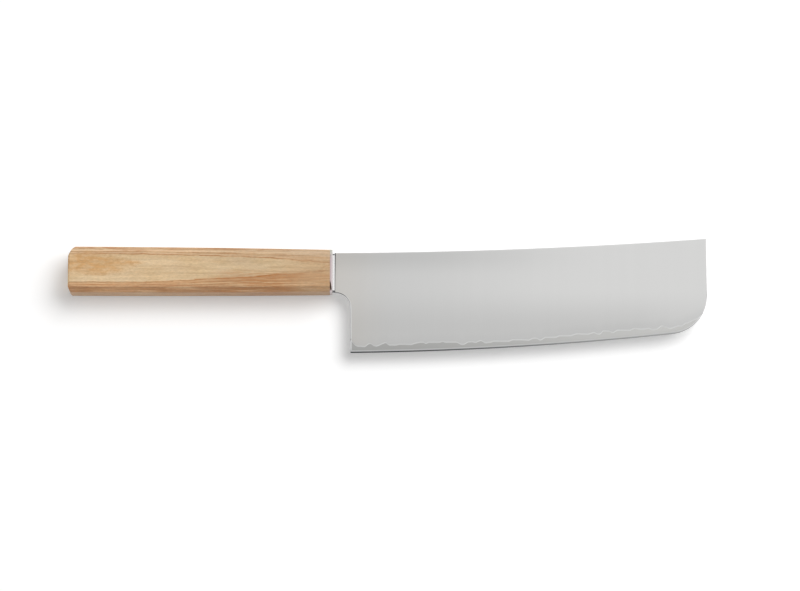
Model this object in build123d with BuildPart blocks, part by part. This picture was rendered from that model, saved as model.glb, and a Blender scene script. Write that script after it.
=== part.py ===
from build123d import *

import os

# A vegetable knife with a laminated blade and a hidden tang, lying on its side.
# +X runs from the butt to the nose, +Y from the cutting edge to the spine, +Z is up.
# The origin is the centre of the flat underside of the handle. Lengths are in millimetres.

# Handle
handle_length = 121.0
handle_thickness = 16.2
butt_height = 21.3
front_height = 19.6
side_swell = 0.25
corner_chamfer = 2.2
corner_softening = 0.7
butt_bevel_depth = 2.4
butt_bevel_height = 4.4
butt_low_bevel_depth = 0.9
butt_low_bevel_height = 2.4
butt_rounding = 2.6
butt_flat_bevel_depth = 0.6
butt_flat_bevel_height = 0.6
butt_flat_rounding = 0.7

# Ferrule
cap_length = 1.3
cap_softening = 0.5
collar_length = 0.9
collar_height = 17.7
collar_drop = 0.35
collar_thickness = 4.4
collar_softening = 0.4
slot_clearance = 0.15

# Blade outline, from the shoulder forward and from the handle's axis up and down
blade_length = 165.0
spine_at_neck = 9.0
spine_at_nose = 16.65
spine_sag = 1.45
choil_depth = 9.6
choil_radius = 6.7
neck_run = 0.6
heel_depth = 37.6
heel_lean = 0.25
nose_depth = 26.1
nose_lean = 0.45
nose_radius = 18.0
edge_sag = 2.2

# Blade section: a thin core between two cladding skins that feather out above the edge
spine_thickness = 1.9
core_thickness = 0.6
edge_thickness = 0.06
bevel_height = 1.5
feather_thickness = 0.1

# The line where the cladding ends, uneven as forging leaves it: places as shares of the edge's length
# from the heel, and heights above the edge as shares of the band's height. The band grows towards the nose.
band_height = 3.1
band_growth = 0.75
border_place_shares = (
    -0.03, 0.005, 0.009, 0.017, 0.041, 0.05, 0.058, 0.063, 0.074, 0.085, 0.099, 0.107, 0.127, 0.137,
    0.17, 0.182, 0.195, 0.205, 0.211, 0.218, 0.249, 0.258, 0.265, 0.298, 0.31, 0.318, 0.329, 0.342,
    0.35, 0.365, 0.377, 0.392, 0.401, 0.444, 0.453, 0.48, 0.5, 0.51, 0.522, 0.532, 0.545, 0.576,
    0.584, 0.618, 0.633, 0.666, 0.682, 0.692, 0.702, 0.705, 0.725, 0.735, 0.747, 0.782, 0.795, 0.816,
    0.837, 0.846, 0.859, 0.871, 0.895, 0.919, 0.93, 0.935, 0.948, 0.962, 0.975, 0.982, 0.991, 1.02,
)
border_height_shares = (
    2.0, 1.71, 1.34, 1.0, 0.88, 1.31, 1.34, 1.05, 0.92, 1.18, 1.45, 1.04, 1.0, 1.12,
    1.02, 1.2, 1.31, 1.28, 1.07, 1.25, 1.19, 1.32, 1.17, 1.09, 0.72, 0.7, 1.05, 1.04,
    0.9, 1.19, 0.79, 0.83, 0.95, 0.8, 1.0, 0.91, 0.76, 1.01, 0.98, 0.63, 1.02, 0.91,
    1.09, 0.98, 1.19, 0.97, 1.19, 0.85, 0.84, 1.29, 1.16, 0.85, 1.19, 0.98, 1.22, 0.98,
    1.0, 0.74, 0.72, 1.2, 0.62, 0.88, 0.78, 1.09, 1.19, 1.52, 1.68, 2.03, 2.32, 3.6,
)

# Tang and the adhesive that holds it
tang_length = 90.0
tang_height = 12.0
tang_end_height = 6.0
tang_thickness = 1.5
adhesive_gap = 0.45

# Cuts run this far past what they cut
overrun = 5.0

middle_z = handle_thickness / 2
butt_x = -handle_length / 2
front_x = handle_length / 2
cap_front_x = front_x + cap_length
shoulder_x = cap_front_x + collar_length
core_half = core_thickness / 2

blade_plane = Plane(origin=(shoulder_x, 0, middle_z))
front_plane = Plane(origin=(front_x, 0, middle_z), x_dir=(0, 1, 0), z_dir=(1, 0, 0))

# Corners of the blade's outline, in the blade plane
heel_x = neck_run + choil_radius + heel_lean
nose_x = heel_x + blade_length
neck_top = (0, spine_at_neck)
nose_top = (nose_x - nose_lean, spine_at_nose)
choil_start = (neck_run, -choil_depth)
choil_end = (neck_run + choil_radius, -choil_depth - choil_radius)
tang_end_radius = tang_end_height / 2


def heel_point(height):
    """Gives the point of the heel's leaning line at a height."""
    share = (height + heel_depth) / (choil_end[1] + heel_depth)
    return (heel_x - heel_lean * share, height)


def nose_point(height):
    """Gives the point of the nose's leaning line at a height."""
    share = (height + nose_depth) / (spine_at_nose + nose_depth)
    return (nose_x - nose_lean * share, height)


def edge_height(x):
    """Gives the height of the cutting edge, a parabola that sags below its chord."""
    share = (x - heel_x) / blade_length
    chord = -heel_depth + (heel_depth - nose_depth) * share
    return chord - 4 * edge_sag * share * (1 - share)


def draw_tang(grow, reach):
    """Draws the tapered tang with its round end, grown all round, and with its taper kept up to reach."""
    end = tang_end_radius + grow
    end_x = tang_end_radius - tang_length
    taper = (tang_height / 2 - tang_end_radius) / -end_x
    root = end + taper * (reach - end_x)
    with BuildLine() as outline:
        Polyline((end_x, end), (reach, root), (reach, -root), (end_x, -end))
        ThreePointArc((end_x, -end), (end_x - end, 0), (end_x, end))
    make_face(outline.edges())


def draw_blade(sketch, lift):
    """Draws the blade from the shoulder forward, with its cutting edge raised by lift."""
    nose_corner = nose_point(lift - nose_depth)
    heel_corner = heel_point(lift - heel_depth)
    spine_middle = ((neck_top[0] + nose_top[0]) / 2, (spine_at_neck + spine_at_nose) / 2 - spine_sag)
    edge_middle_x = (nose_corner[0] + heel_corner[0]) / 2
    edge_middle = (edge_middle_x, (nose_corner[1] + heel_corner[1]) / 2 - edge_sag)
    with BuildLine() as outline:
        ThreePointArc(neck_top, spine_middle, nose_top)
        Line(nose_top, nose_corner)
        ThreePointArc(nose_corner, edge_middle, heel_corner)
        Line(heel_corner, choil_end)
        TangentArc(choil_start, choil_end, tangent=(1, 0))
        Polyline(choil_start, (0, -choil_depth), neck_top)
    make_face(outline.edges())
    fillet(sketch.vertices().sort_by_distance(nose_corner)[0], nose_radius - lift)


def draw_handle_section(sketch, height):
    """Draws the handle's section, a rectangle with cut and softened corners."""
    Rectangle(height, handle_thickness)
    chamfer(sketch.vertices(), corner_chamfer)
    fillet(sketch.vertices(), corner_softening)


def bevel_line(half_width, depth, height):
    """Gives where a bevel starts on the flat end, and a point of its line well outside the handle."""
    start = half_width - height
    reach = depth + overrun
    return start, reach, start + height * reach / depth


def draw_butt_profile(sketch, width, high_bevel, low_bevel, rounding):
    """Draws a shape wider than the handle but for its bevels at the butt, each a depth and a height."""
    high_start, high_reach, high_wide = bevel_line(width / 2, *high_bevel)
    low_start, low_reach, low_wide = bevel_line(width / 2, *low_bevel)
    far = handle_length + overrun
    with BuildLine() as outline:
        Polyline((0, high_start), (high_reach, high_wide), (far, high_wide))
        Polyline((far, high_wide), (far, -low_wide), (low_reach, -low_wide), (0, -low_start), (0, high_start))
    make_face(outline.edges())
    fillet(sketch.vertices().group_by(Axis.X)[0], rounding)


# Core: bare steel at the cutting edge, with the blade, the neck and the tang in one piece
with BuildPart() as core_steel:
    with BuildSketch(blade_plane) as flat:
        draw_blade(flat, 0)
    extrude(amount=edge_thickness / 2)
    with BuildSketch(blade_plane.offset(edge_thickness / 2)) as bevel_foot:
        draw_blade(bevel_foot, 0)
    with BuildSketch(blade_plane.offset(core_half)) as bevel_top:
        draw_blade(bevel_top, bevel_height)
    loft(ruled=True)
    with BuildSketch(blade_plane):
        draw_tang(0, 0)
    extrude(amount=core_half)
    mirror(about=blade_plane)
core_steel.part.label = "core_steel"

# Flank: one flat grind from the spine down to the feathered border, the same on both sides
feather_half = core_half + feather_thickness
flank_heel = blade_plane.from_local_coords((heel_x, edge_height(heel_x) + band_height, feather_half))
nose_border = edge_height(nose_x) + band_height + band_growth
flank_nose = blade_plane.from_local_coords((nose_x, nose_border, feather_half))
flank_neck = blade_plane.from_local_coords((0, spine_at_neck, spine_thickness / 2))
flank_plane = Plane(
    origin=flank_heel,
    x_dir=flank_nose - flank_heel,
    z_dir=(flank_nose - flank_heel).cross(flank_neck - flank_heel),
)

# Front cladding: the skin on the upper side, as far as the uneven border, and its share of the tang
border_points = []
for place_share, height_share in zip(border_place_shares, border_height_shares):
    border_x = heel_x + blade_length * place_share
    border_rise = band_height * height_share + band_growth * place_share
    border_points.append((border_x, edge_height(border_x) + border_rise))
below_edge = -heel_depth - overrun

with BuildPart() as cladding_front:
    with BuildSketch(blade_plane.offset(core_half)) as skin:
        draw_blade(skin, 0)
        with BuildLine():
            Polyline(*border_points, (border_x, below_edge), (border_points[0][0], below_edge), close=True)
        make_face(mode=Mode.SUBTRACT)
    extrude(amount=spine_thickness)
    split(bisect_by=flank_plane, keep=Keep.BOTTOM)
    with BuildSketch(blade_plane.offset(core_half)):
        draw_tang(0, 0)
    extrude(amount=tang_thickness / 2 - core_half)
cladding_front.part.label = "cladding_front"

# Back cladding: the same skin on the lower side
with BuildPart() as cladding_back:
    mirror(cladding_front.part, about=blade_plane)
cladding_back.part.label = "cladding_back"

# Ferrule: a cap flush with the wood, and a thin collar round the slot that the shoulder meets
slot_half = tang_thickness / 2 + slot_clearance
with BuildPart() as ferrule:
    with BuildSketch(front_plane) as cap:
        draw_handle_section(cap, front_height)
    extrude(amount=cap_length)
    fillet(ferrule.faces().sort_by(Axis.X)[-1].edges(), cap_softening)
    with BuildSketch(front_plane.offset(cap_length)):
        with Locations((-collar_drop, 0)):
            RectangleRounded(collar_height, collar_thickness, collar_softening)
    extrude(amount=collar_length)
    fillet(ferrule.faces().sort_by(Axis.X)[-1].edges(), collar_softening / 2)
    with BuildSketch(blade_plane.offset(-slot_half)):
        draw_tang(slot_clearance, overrun)
    extrude(amount=2 * slot_half, mode=Mode.SUBTRACT)
ferrule.part.label = "ferrule"

# Handle: solid wood, tapered towards the ferrule with a slight swell between, bevelled at the butt, with a
# pocket for the tang
pocket_half = tang_thickness / 2 + adhesive_gap
middle_half = (butt_height + front_height) / 4 + side_swell
with BuildPart() as handle:
    with BuildSketch():
        with BuildLine():
            ThreePointArc((butt_x, -butt_height / 2), (0, -middle_half), (front_x, -front_height / 2))
            Line((front_x, -front_height / 2), (front_x, front_height / 2))
            ThreePointArc((front_x, front_height / 2), (0, middle_half), (butt_x, butt_height / 2))
            Line((butt_x, butt_height / 2), (butt_x, -butt_height / 2))
        make_face()
    extrude(amount=handle_thickness)
    chamfer(handle.edges().group_by(SortBy.LENGTH)[-1], corner_chamfer)
    fillet(handle.edges().filter_by(lambda edge: edge.length > handle_length / 2), corner_softening)
    with BuildSketch(Plane(origin=(butt_x, 0, 0))) as plan:
        high_bevel = (butt_bevel_depth, butt_bevel_height)
        low_bevel = (butt_low_bevel_depth, butt_low_bevel_height)
        draw_butt_profile(plan, butt_height, high_bevel, low_bevel, butt_rounding)
    extrude(amount=handle_thickness, mode=Mode.INTERSECT)
    side_plane = Plane(origin=(butt_x, 0, middle_z), x_dir=(1, 0, 0), z_dir=(0, -1, 0))
    with BuildSketch(side_plane) as side:
        flat_bevel = (butt_flat_bevel_depth, butt_flat_bevel_height)
        draw_butt_profile(side, handle_thickness, flat_bevel, flat_bevel, butt_flat_rounding)
    extrude(amount=butt_height, both=True, mode=Mode.INTERSECT)
    with BuildSketch(blade_plane.offset(-pocket_half)):
        draw_tang(adhesive_gap, overrun)
    extrude(amount=2 * pocket_half, mode=Mode.SUBTRACT)
handle.part.label = "handle"

# Adhesive: fills the pocket round the tang, back from the front of the wood
with BuildPart() as tang_adhesive:
    with BuildSketch(blade_plane.offset(-pocket_half)):
        draw_tang(adhesive_gap, front_x - shoulder_x)
    extrude(amount=2 * pocket_half)
    for layer in (core_steel, cladding_front, cladding_back):
        add(layer.part, mode=Mode.SUBTRACT)
tang_adhesive.part.label = "tang_adhesive"

os.makedirs("parts", exist_ok=True)
for piece in (core_steel, cladding_front, cladding_back, ferrule, handle, tang_adhesive):
    export_step(piece.part, f"parts/{piece.part.label}.step")
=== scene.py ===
"""A vegetable knife with a laminated blade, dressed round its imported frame. Lengths are in metres."""

import math

import bpy
import numpy as np
from mathutils import Matrix, Vector


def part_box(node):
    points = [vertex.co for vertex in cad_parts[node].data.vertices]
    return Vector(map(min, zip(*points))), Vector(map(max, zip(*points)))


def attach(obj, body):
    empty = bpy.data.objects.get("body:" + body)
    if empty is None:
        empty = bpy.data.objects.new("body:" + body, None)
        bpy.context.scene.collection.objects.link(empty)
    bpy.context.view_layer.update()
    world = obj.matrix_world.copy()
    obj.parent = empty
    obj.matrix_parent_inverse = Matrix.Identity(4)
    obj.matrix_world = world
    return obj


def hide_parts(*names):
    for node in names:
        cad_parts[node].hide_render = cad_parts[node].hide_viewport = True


bl_info = {
    "name": "Vegetable knife",
    "version": (1, 0, 0),
    "blender": (4, 5, 0),
    "location": "View3D > Sidebar > Knife",
    "description": "Builds the handle, ferrule, laminated blade and stage of a vegetable knife",
    "category": "Object",
}

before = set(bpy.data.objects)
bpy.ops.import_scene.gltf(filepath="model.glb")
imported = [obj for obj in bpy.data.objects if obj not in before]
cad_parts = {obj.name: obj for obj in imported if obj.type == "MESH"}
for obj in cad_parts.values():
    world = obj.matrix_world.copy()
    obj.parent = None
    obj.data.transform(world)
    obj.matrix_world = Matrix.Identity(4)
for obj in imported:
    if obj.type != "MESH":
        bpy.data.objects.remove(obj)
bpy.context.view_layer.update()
MM = 0.001

HANDLE_LOW, HANDLE_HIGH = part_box("handle")
FERRULE_LOW, FERRULE_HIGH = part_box("ferrule")
CORE_LOW, CORE_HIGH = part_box("core_steel")
MIDDLE_Z = (HANDLE_LOW.z + HANDLE_HIGH.z) / 2


def size_property(name, description, default):
    """Gives a length property in metres."""
    return bpy.props.FloatProperty(
        name=name, description=description, default=default, unit="LENGTH", precision=5
    )


def colour_property(name, description, default):
    """Gives a colour property, in linear values."""
    return bpy.props.FloatVectorProperty(
        name=name, description=description, default=default, subtype="COLOR", size=3, min=0, max=1
    )


def number_property(name, description, default):
    """Gives a plain number, from 0 up."""
    return bpy.props.FloatProperty(name=name, description=description, default=default, min=0)


def angle_property(name, description, default):
    """Gives an angle in radians."""
    return bpy.props.FloatProperty(name=name, description=description, default=default, subtype="ANGLE")


def linear(red, green, blue):
    """Turns a colour as a screen shows it, 0 to 255, into linear values."""
    shown = np.array((red, green, blue)) / 255
    low = shown / 12.92
    high = ((shown + 0.055) / 1.055) ** 2.4
    return tuple(float(v) for v in np.where(shown <= 0.04045, low, high))


class HandleSettings(bpy.types.PropertyGroup):
    """Sizes and colours of the wooden handle."""
    length: size_property("Length", "From the butt to the ferrule", HANDLE_HIGH.x - HANDLE_LOW.x)
    thickness: size_property("Thickness", "Across the flats that lie level", HANDLE_HIGH.z - HANDLE_LOW.z)
    butt_height: size_property("Butt height", "Height of the section that the taper starts from", 21.3 * MM)
    front_height: size_property("Front height", "Height at the ferrule", FERRULE_HIGH.y - FERRULE_LOW.y)
    side_swell: size_property("Side swell", "How far each side bows out of its straight taper", 0.25 * MM)
    chamfer: size_property("Corner chamfer", "Leg of the cut along each long corner", 2.2 * MM)
    softening: size_property("Corner softening", "Radius left on every long edge by sanding", 0.7 * MM)
    bevel_depth: size_property("Butt bevel depth", "How far forward the upper bevel reaches", 2.4 * MM)
    bevel_height: size_property("Butt bevel height", "How far it cuts into the height", 4.4 * MM)
    low_bevel_depth: size_property("Low bevel depth", "How far forward the lower bevel reaches", 0.9 * MM)
    low_bevel_height: size_property("Low bevel height", "How far it cuts into the height", 2.4 * MM)
    butt_rounding: size_property("Butt rounding", "Radius between the butt's end and its bevels", 2.6 * MM)
    bevel_blend: size_property("Bevel blend", "Width over which a bevel runs into its side", 2.5 * MM)
    flat_bevel: size_property("Flat bevel", "Depth and rise of the bevels on the level flats", 0.6 * MM)
    flat_rounding: size_property("Flat rounding", "Radius between the end and the small bevels", 0.7 * MM)
    flat_blend: size_property("Flat blend", "Width over which a small bevel runs into its flat", 0.3 * MM)
    pale: colour_property("Pale wood", "The broad band of early wood", linear(226, 199, 161))
    tan: colour_property("Tan wood", "The wood above the first ring", linear(219, 186, 148))
    low_tan: colour_property("Low tan wood", "The wood below the first ring", linear(214, 174, 132))
    ring: colour_property("Ring line", "The dark line of late wood", linear(176, 118, 68))
    red: colour_property("Red streak", "The red-brown bands", linear(182, 130, 88))
    amber: colour_property("Amber stain", "The darker flame near the butt", linear(206, 156, 98))


class FerruleSettings(bpy.types.PropertyGroup):
    """Sizes and colour of the ferrule."""
    cap_length: size_property("Cap length", "Length of the cap, flush with the wood", 1.3 * MM)
    cap_softening: size_property("Cap softening", "Radius round the cap's front face", 0.5 * MM)
    collar_height: size_property("Collar height", "Height of the collar round the shoulder", 17.7 * MM)
    collar_drop: size_property("Collar drop", "How far the collar's middle lies below the axis", 0.35 * MM)
    collar_thickness: size_property("Collar thickness", "Thickness of the collar", 4.4 * MM)
    collar_softening: size_property("Collar softening", "Radius on the collar's corners", 0.4 * MM)
    metal: colour_property("Collar metal", "Bright polished steel", (0.93, 0.93, 0.93))
    # The cap's pink tint is a painted reflection of the wood
    cap_steel_painted_reflection: colour_property("Cap metal", "Steel with the wood's colour in it", linear(207, 191, 192))


class BladeSettings(bpy.types.PropertyGroup):
    """Sizes and colours of the blade's three layers."""
    blade_length: size_property("Edge length", "From heel to nose", 165.0 * MM)
    spine_at_neck: size_property("Spine at the neck", "Height above the handle's axis", 9.0 * MM)
    spine_at_nose: size_property("Spine at the nose", "Height above the handle's axis", CORE_HIGH.y)
    spine_sag: size_property("Spine sag", "How far the spine dips below its chord", 1.45 * MM)
    choil_depth: size_property("Choil depth", "Depth of the neck below the axis", 9.6 * MM)
    choil_radius: size_property("Choil radius", "Radius from the neck to the heel", 6.7 * MM)
    neck_run: size_property("Neck run", "Straight stretch before the choil", 0.6 * MM)
    heel_depth: size_property("Heel depth", "Depth of the heel's corner below the axis", -CORE_LOW.y)
    heel_lean: size_property("Heel lean", "How far the heel's foot stands forward", 0.25 * MM)
    nose_depth: size_property("Nose depth", "Depth of the edge at the nose", 26.1 * MM)
    nose_lean: size_property("Nose lean", "How far the nose's foot stands forward", 0.45 * MM)
    nose_radius: size_property("Nose radius", "Radius from the edge to the nose", 18.0 * MM)
    edge_sag: size_property("Edge sag", "How far the edge bows below its chord", 2.2 * MM)
    spine_thickness: size_property("Spine thickness", "Thickness at the neck", 1.9 * MM)
    core_thickness: size_property("Core thickness", "Thickness of the hard layer", 0.6 * MM)
    feather: size_property("Feather", "Thickness of each skin where it ends", 0.1 * MM)
    edge_thickness: size_property("Edge thickness", "Flat left at the very edge", 0.06 * MM)
    bevel_height: size_property("Bevel height", "Height of the bevel at the edge", 1.5 * MM)
    softening: size_property("Spine softening", "Radius on the skins' outer edges", 0.16 * MM)
    band_height: size_property("Band height", "Height above the edge where the flank ends", 3.1 * MM)
    band_growth: size_property("Band growth", "How much higher it ends at the nose", 0.75 * MM)
    cladding: colour_property("Cladding", "Satin stainless skin", linear(222, 222, 221))
    core: colour_property("Core", "Bare hard steel", linear(187, 187, 185))
    line: colour_property("Border line", "Bright line where the skin ends", linear(228, 229, 228))
    # The rim colours are painted light: a highlight along the heel and the bevel, and dark shade and
    # reflection at the edge, under the choil and at the collar
    bright: colour_property("Painted rim highlight", "Bright lines along the heel and the edge", linear(236, 237, 238))
    dark: colour_property("Dark rim", "Thin dark lines at the edge and under the choil", linear(70, 72, 76))


class StageSettings(bpy.types.PropertyGroup):
    """Camera, floor and lights."""
    distance: size_property("Camera distance", "From the camera to the middle of the picture", 2.4)
    view_width: size_property("View width", "What the picture's width takes in", 0.3704)
    tilt: angle_property("Tilt", "Camera tilt", math.radians(8.5))
    roll: angle_property("Roll", "Camera roll", 0.00504)
    key_level: number_property("Key level", "Light from the main lamp", 0.87)
    fill_level: number_property("Fill level", "Light from all round", 0.26)
    floor: colour_property("Floor", "Colour of the floor", (0.80, 0.80, 0.80))
    floor_lift: number_property("Floor lift", "What the floor adds for the camera, to read as white", 0.30)


SETTINGS = {
    "knife_handle": HandleSettings,
    "knife_ferrule": FerruleSettings,
    "knife_blade": BladeSettings,
    "knife_stage": StageSettings,
}


# Meshes: every shape is a set of grids of points, worked out as whole arrays

def grid_quads(rows, columns, first=0, closed=False):
    """Joins a grid of points, counted row by row from first; a closed grid's last column meets its first."""
    row = np.arange(rows - 1)[:, None]
    column = np.arange(columns if closed else columns - 1)[None, :]
    here = first + row * columns + column
    right = first + row * columns + (column + 1) % columns
    return np.stack((here, here + columns, right + columns, right), axis=-1).reshape(-1, 4)


def fan(ring, centre, outwards):
    """Joins a closed ring of points to one centre point."""
    following = np.roll(ring, -1)
    middle = np.full_like(ring, centre)
    order = (ring, following, middle) if outwards else (following, ring, middle)
    return np.stack(order, axis=-1)


def make_object(name, points, faces, attributes=None):
    """Puts points and faces into a new smooth mesh, with one value per point for each attribute."""
    mesh = bpy.data.meshes.new(name)
    mesh.from_pydata(points.tolist(), [], [face.tolist() for group in faces for face in group])
    for label, values in (attributes or {}).items():
        layer = mesh.attributes.new(label, "FLOAT", "POINT")
        layer.data.foreach_set("value", np.asarray(values, np.float32).ravel())
    mesh.shade_smooth()
    mesh.update()
    piece = bpy.data.objects.new(name, mesh)
    bpy.context.scene.collection.objects.link(piece)
    return piece


def tube(rings):
    """Joins closed rings, all with as many points, and closes both ends with a fan round the middle."""
    count, around = rings.shape[:2]
    points = np.concatenate((rings.reshape(-1, 3), rings[0].mean(0)[None], rings[-1].mean(0)[None]))
    first_ring = np.arange(around)
    last_ring = first_ring + (count - 1) * around
    faces = [
        grid_quads(count, around, closed=True)[:, ::-1],
        fan(first_ring, count * around, False),
        fan(last_ring, count * around + 1, True),
    ]
    return points, faces


ARC_POINTS = 8
FLAT_SHARES = (0.04, 0.3, 0.5, 0.7, 0.96)
LIP = 0.08 * MM


def section_columns():
    """Gives, for each point round an eight-sided section, its corner, the next one, its share of the way
    between them, its normal's angle, and 1 on a corner's arc or 0 on a flat."""
    flats = len(FLAT_SHARES)
    corner = np.repeat(np.arange(8), ARC_POINTS + flats)
    arc = np.concatenate((np.linspace(0, 1, ARC_POINTS), np.ones(flats)))
    share = np.tile(np.concatenate((np.zeros(ARC_POINTS), FLAT_SHARES)), 8)
    edge = np.tile(np.concatenate((np.ones(ARC_POINTS), np.zeros(flats))), 8)
    turn = (corner + np.tile(arc, 8)) * math.pi / 4
    return corner, (corner + 1) % 8, share, turn, edge


def corner_centres(half_height, half_thickness, chamfer, radius):
    """Gives how far out the centres of a cut corner's two arcs lie: each is where the two sides that meet
    there would cross, both moved in by the radius."""
    reach = half_height + half_thickness - chamfer - radius * math.sqrt(2)
    far_y = half_height - radius
    far_z = half_thickness - radius
    return far_y, far_z, np.clip(reach - far_z, 0, far_y), np.clip(reach - far_y, 0, far_z)


def eight_sided_rings(x, upper, lower, half_thickness, radius):
    """Gives one ring for each station x: a rectangle whose corners are cut at 45 degrees, then all rounded.
    Upper and lower hold the half height and the chamfer above and below the axis. Each corner's arc is its
    centre plus the radius times the normal; flats run straight from arc to arc."""
    x, half_thickness, radius = np.broadcast_arrays(x, half_thickness, radius)
    high_y, far_z, high_near_y, high_near_z = corner_centres(upper[0], half_thickness, upper[1], radius)
    low_y, far_z, low_near_y, low_near_z = corner_centres(lower[0], half_thickness, lower[1], radius)
    half_y = (high_y, high_near_y, -low_near_y, -low_y)
    half_z = (high_near_z, far_z, far_z, low_near_z)
    centre_y = np.stack(half_y + half_y[::-1], axis=-1)
    centre_z = np.stack(half_z + tuple(-z for z in half_z[::-1]), axis=-1)
    corner, following, share, turn, edge = section_columns()
    y = centre_y[:, corner] * (1 - share) + centre_y[:, following] * share + radius[:, None] * np.cos(turn)
    z = centre_z[:, corner] * (1 - share) + centre_z[:, following] * share + radius[:, None] * np.sin(turn)
    return np.stack((np.broadcast_to(x[:, None], y.shape), y, z + MIDDLE_Z), axis=-1), edge


def soft_minimum(first, second, width):
    """The lower of two values, with a parabola of that width where they cross."""
    overlap = np.maximum(width - np.abs(first - second), 0)
    return np.minimum(first, second) - overlap ** 2 / (4 * width)


def bevel_line(depth, end_half, rise, reach, radius):
    """Half-size at a depth from the butt: an arc out of the flat end, then a straight bevel."""
    slope = rise / reach
    turn = math.pi / 2 - math.atan(slope)
    arc_depth = radius * (1 - math.cos(turn))
    arc_foot = end_half - radius * math.tan(turn / 2)
    arc = arc_foot + np.sqrt(np.maximum(2 * radius * depth - depth ** 2, 0))
    return np.where(depth < arc_depth, arc, end_half + slope * depth)


END_REACH = 0.14
TURN_REACH = 2.2
BODY_START = 2.6
END_RINGS = 8
TURN_RINGS = 34
BODY_RINGS = 90
BODY_GAP = 0.5 * MM


def handle_stations(bevel, length):
    """Depths from the butt of the handle's rings: crowded where the end turns, then even, then a fine lip.
    The reaches are shares of the bevel's depth."""
    end = (np.arange(END_RINGS) / END_RINGS) ** 2 * bevel * END_REACH
    turn = np.linspace(bevel * END_REACH, bevel * TURN_REACH, TURN_RINGS)
    body = np.linspace(bevel * BODY_START, length - BODY_GAP, BODY_RINGS)
    return np.concatenate((end, turn, body, (length - 3 * LIP, length - LIP, length)))


def handle_shape(settings):
    """The handle: an eight-sided section that tapers to the ferrule with a slight swell. Its butt has a
    bevel above, a smaller one below and small ones on the level flats, all run softly into the sides."""
    depth = handle_stations(settings.bevel_depth, settings.length)
    share = depth / settings.length
    taper = (settings.butt_height + (settings.front_height - settings.butt_height) * share) / 2
    taper += 4 * settings.side_swell * share * (1 - share)
    thick = np.full_like(depth, settings.thickness / 2)
    flat = settings.flat_bevel
    bevel_z = bevel_line(depth, settings.thickness / 2 - flat, flat, flat, settings.flat_rounding)
    half_thickness = soft_minimum(bevel_z, thick, settings.flat_blend)
    inset = np.where(depth > settings.length - LIP / 2, LIP, 0)
    sides = []
    for rise, reach in (
        (settings.bevel_height, settings.bevel_depth),
        (settings.low_bevel_height, settings.low_bevel_depth),
    ):
        bevel_y = bevel_line(depth, settings.butt_height / 2 - rise, rise, reach, settings.butt_rounding)
        half_height = soft_minimum(bevel_y, taper, settings.bevel_blend)
        chamfer = half_height + half_thickness - (taper + thick - settings.chamfer)
        sides.append((half_height - inset, np.maximum(chamfer, 0)))
    rings, edge = eight_sided_rings(HANDLE_LOW.x + depth, *sides, half_thickness - inset, settings.softening)
    points, faces = tube(rings)
    near_butt = np.clip(1 - np.abs(depth / settings.bevel_depth - 1), 0, 1)
    wear = np.maximum(np.broadcast_to(edge, rings.shape[:2]), near_butt[:, None]).ravel()
    return points, faces, {"edge": np.append(wear, (0, 0))}


FRONT_RINGS = 9
FACE_INSET = 1.6


def ferrule_shape(settings, handle):
    """The ferrule: a cap flush with the wood whose front face is rounded, and a thin collar before it. Both
    fronts turn in by a radius: x = front - radius + radius sin t, inset = radius (1 - cos t)."""
    softening = settings.cap_softening
    back = FERRULE_LOW.x
    front = back + settings.cap_length
    turns = np.linspace(0, math.pi / 2, FRONT_RINGS)
    rounding = front - softening + softening * np.sin(turns)
    x = np.concatenate(((back, back + LIP, back + 3 * LIP), rounding, (front,)))
    inset = np.concatenate(((LIP, 0, 0), softening * (1 - np.cos(turns)), (softening * FACE_INSET,)))
    side = (handle.front_height / 2 - inset, handle.chamfer)
    cap, edge = eight_sided_rings(x, side, side, handle.thickness / 2 - inset, handle.softening)
    small = settings.collar_softening / 2
    collar_front = FERRULE_HIGH.x - small + small * np.sin(turns)
    collar_x = np.concatenate(((front - softening / 2, front + 2 * small), collar_front))
    collar_inset = np.concatenate(((0, 0), small * (1 - np.cos(turns))))
    side = (settings.collar_height / 2 - collar_inset, 0.0)
    collar, collar_edge = eight_sided_rings(
        collar_x, side, side, settings.collar_thickness / 2 - collar_inset, settings.collar_softening
    )
    collar[:, :, 1] -= settings.collar_drop
    cap_points, cap_faces = tube(cap)
    collar_points, collar_faces = tube(collar)
    faces = cap_faces + [group + len(cap_points) for group in collar_faces]
    wear = np.concatenate((np.tile(edge, len(cap)), (0, 0), np.tile(collar_edge, len(collar)), (0, 0)))
    return np.concatenate((cap_points, collar_points)), faces, {"edge": wear}


# The blade's outline, in the blade's own plane: x from the shoulder forward, y from the handle's axis up

def heel_line(settings, y):
    """The heel's x at a height: a line from the choil's end to the corner, which leans forward."""
    start = settings.neck_run + settings.choil_radius
    top = -settings.choil_depth - settings.choil_radius
    return start + settings.heel_lean * (top - y) / (top + settings.heel_depth)


def blade_ends(settings):
    """The x of the heel's corner and of the nose's foot."""
    heel = settings.neck_run + settings.choil_radius + settings.heel_lean
    return heel, heel + settings.blade_length


def nose_line(settings, y):
    """The nose's x at a height: a line from the top corner to its foot, which stands forward by the lean."""
    share = (y + settings.nose_depth) / (settings.spine_at_nose + settings.nose_depth)
    return blade_ends(settings)[1] - settings.nose_lean * share


def edge_line(settings, x):
    """The cutting edge's y: its chord from heel to nose, less a parabola that sags below it."""
    share = (x - blade_ends(settings)[0]) / settings.blade_length
    chord = -settings.heel_depth + (settings.heel_depth - settings.nose_depth) * share
    return chord - 4 * settings.edge_sag * share * (1 - share)


def spine_line(settings, x):
    """The spine's y: its chord from neck to nose, less a parabola that sags below it."""
    share = x / (blade_ends(settings)[1] - settings.nose_lean)
    chord = settings.spine_at_neck + (settings.spine_at_nose - settings.spine_at_neck) * share
    return chord - 4 * settings.spine_sag * share * (1 - share)


TOUCH = 0.01 * MM
BORDER_OVERRUN = 5.0 * MM
BORDER_SOFTENING = 0.35 * MM


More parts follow.
